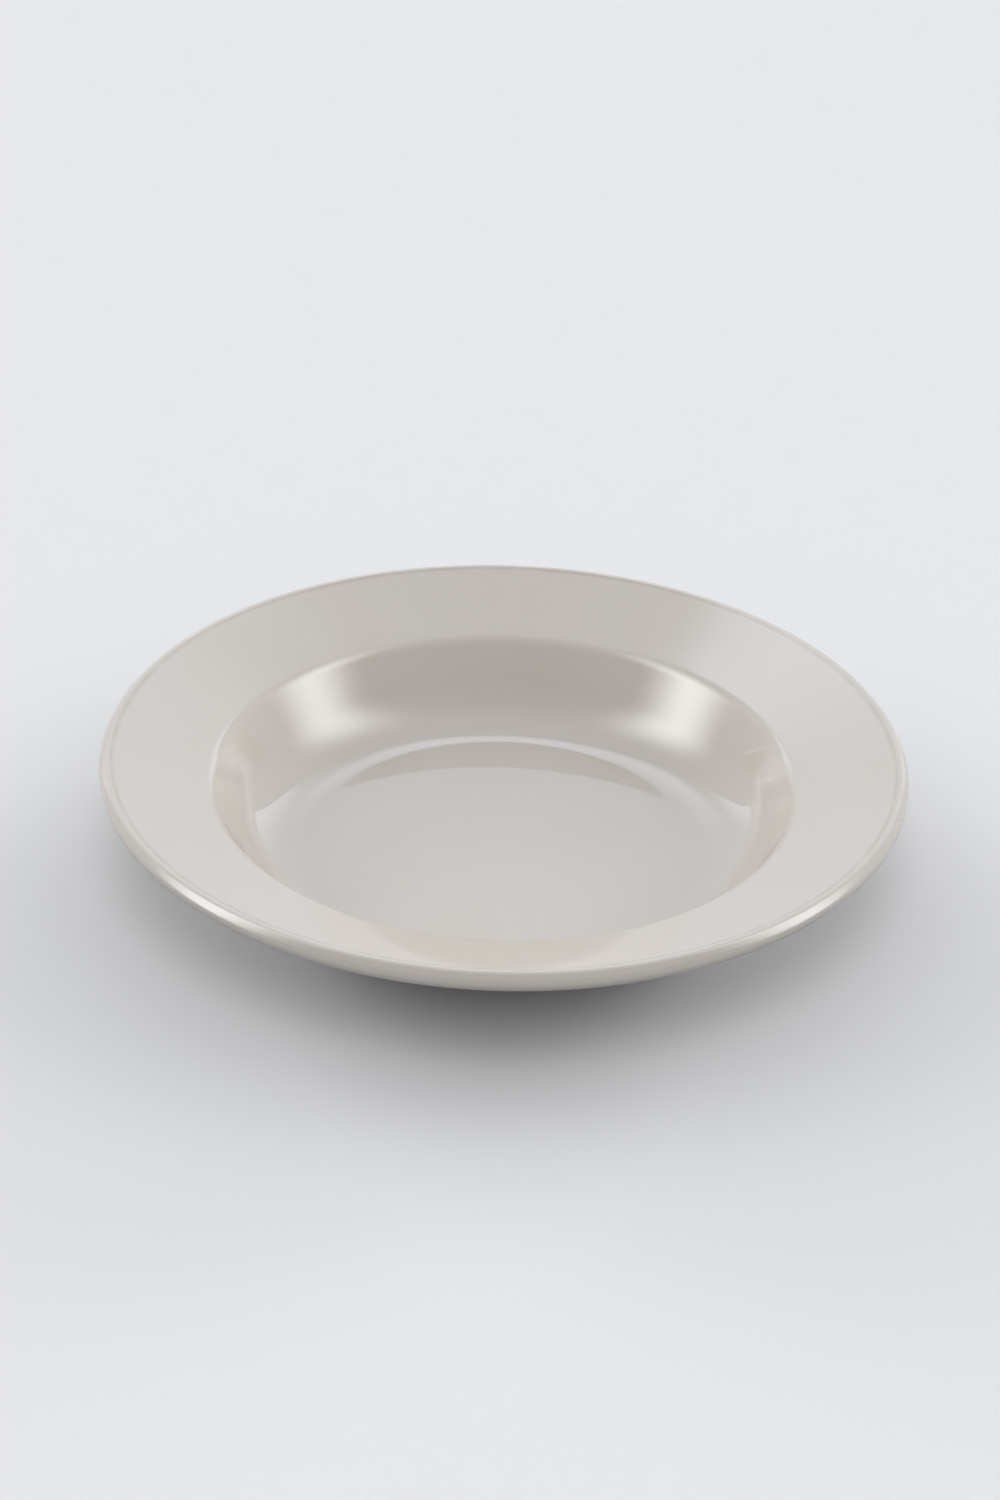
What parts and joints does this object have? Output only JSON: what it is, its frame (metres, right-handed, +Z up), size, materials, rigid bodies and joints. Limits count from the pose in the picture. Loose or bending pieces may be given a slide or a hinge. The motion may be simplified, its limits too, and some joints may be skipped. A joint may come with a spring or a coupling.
{
  "type": "rim soup plate",
  "caption": "Round glazed stoneware soup plate with a wide sloping flange, a rounded edge, a deep bowl-shaped well and a bare-footed base ring.",
  "frame": {"origin": "centre of the foot ring's standing face, on the table", "axes": "+Z up, along the plate's axis of revolution; X and Y lie in the table's plane, -Y towards the viewer"},
  "size_m": [0.25, 0.25, 0.0435],
  "materials": {
    "fired_clay": "matt, bare fired stoneware",
    "glaze": "gloss, warm pale grey"
  },
  "bodies": {
    "root": {"clay_body": "fired_clay", "glaze_coat": "glaze", "base_glaze": "glaze"}
  },
  "joints": []
}
